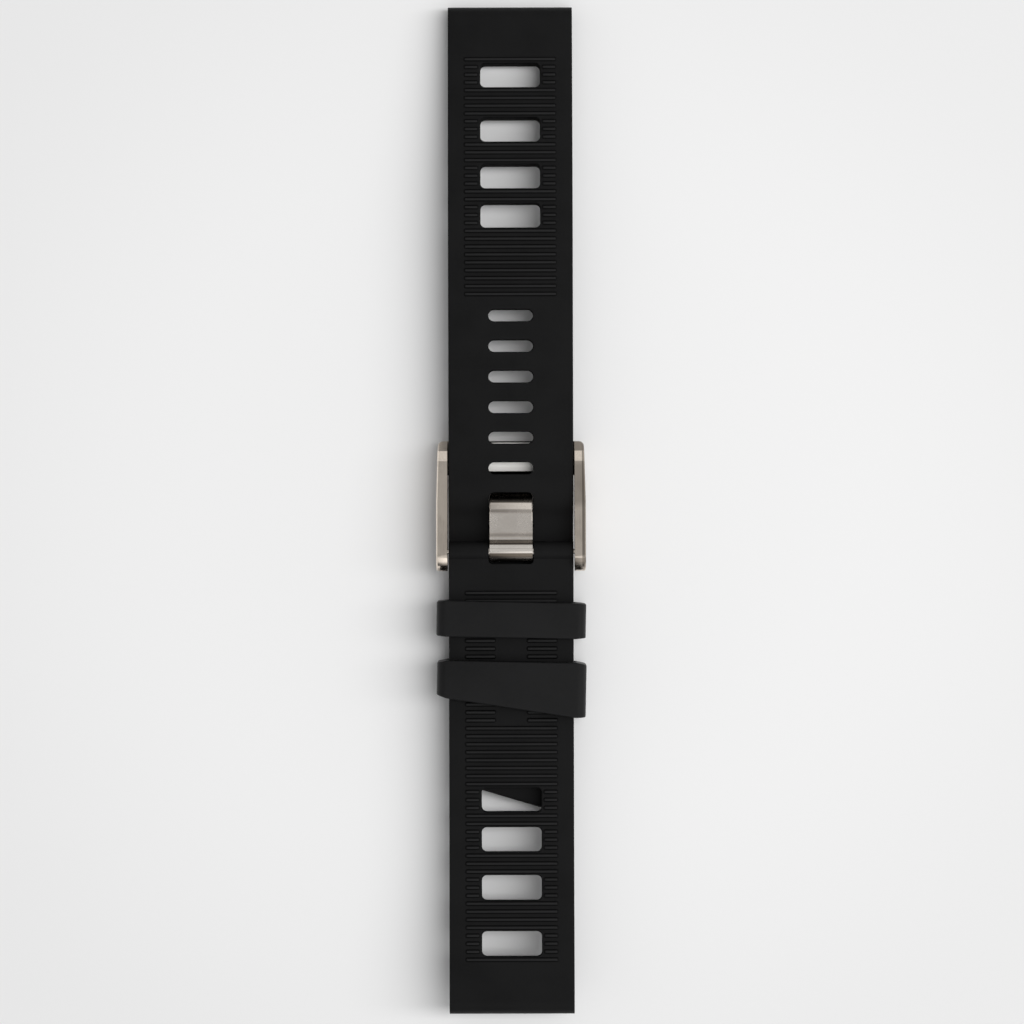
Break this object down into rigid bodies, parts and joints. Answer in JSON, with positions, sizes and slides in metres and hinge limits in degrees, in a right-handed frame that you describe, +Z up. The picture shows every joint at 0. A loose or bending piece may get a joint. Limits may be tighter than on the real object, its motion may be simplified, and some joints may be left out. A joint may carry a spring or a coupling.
{
  "type": "rubber dive strap",
  "caption": "Two piece rubber dive watch strap, buckled closed: ribbed and vented bands, metal pin buckle with a wide tongue, and two loose rubber keepers.",
  "frame": {"origin": "middle of the strap's footprint on the surface that it lies on", "axes": "+X across the strap to the right of the picture, +Y along it towards the long strap's lug end, +Z up out of the wrist side"},
  "size_m": [0.0238, 0.1602, 0.0085],
  "materials": {
    "strap_rubber": "matt moulded",
    "keeper_rubber": "satin moulded",
    "buckle_steel": "blasted and brushed",
    "spring_bar_steel": "bright"
  },
  "bodies": {
    "strap": {"long_strap": "strap_rubber", "short_strap": "strap_rubber", "spring_bar_tube": "spring_bar_steel", "spring_bar_spring": "spring_bar_steel"},
    "keeper_narrow": {"keeper_narrow": "keeper_rubber"},
    "keeper_wide": {"keeper_wide": "keeper_rubber"},
    "frame": {"buckle_frame": "buckle_steel"},
    "tongue": {"buckle_tongue": "buckle_steel"},
    "tip_right": {"spring_bar_tip_right": "spring_bar_steel"},
    "tip_left": {"spring_bar_tip_left": "spring_bar_steel"}
  },
  "joints": [
    {"name": "keeper_narrow_slide", "type": "slide", "parent": "strap", "child": "keeper_narrow", "axis": [0, 1, 0], "range_m": [-0.0014, 0.0042]},
    {"name": "keeper_wide_slide", "type": "slide", "parent": "strap", "child": "keeper_wide", "axis": [0, 1, 0], "range_m": [-0.015, 0.0014]},
    {"name": "frame_hinge", "type": "hinge", "parent": "strap", "child": "frame", "pos_m": [0, -0.00682, 0.00555], "axis": [-1, 0, 0], "range_deg": [0, 5]},
    {"name": "tongue_hinge", "type": "hinge", "parent": "frame", "child": "tongue", "pos_m": [0, -0.00682, 0.00555], "axis": [-1, 0, 0], "range_deg": [0, 5]},
    {"name": "spring_bar_tip_right_slide", "type": "slide", "parent": "strap", "child": "tip_right", "axis": [-1, 0, 0], "range_m": [0, 0.0013], "stiffness_N_per_m": 1500, "springref_m": -0.0008, "deforming": ["spring_bar_spring"]},
    {"name": "spring_bar_tip_left_slide", "type": "slide", "parent": "strap", "child": "tip_left", "axis": [1, 0, 0], "range_m": [0, 0.0013], "stiffness_N_per_m": 1500, "springref_m": -0.0008, "deforming": ["spring_bar_spring"]}
  ]
}
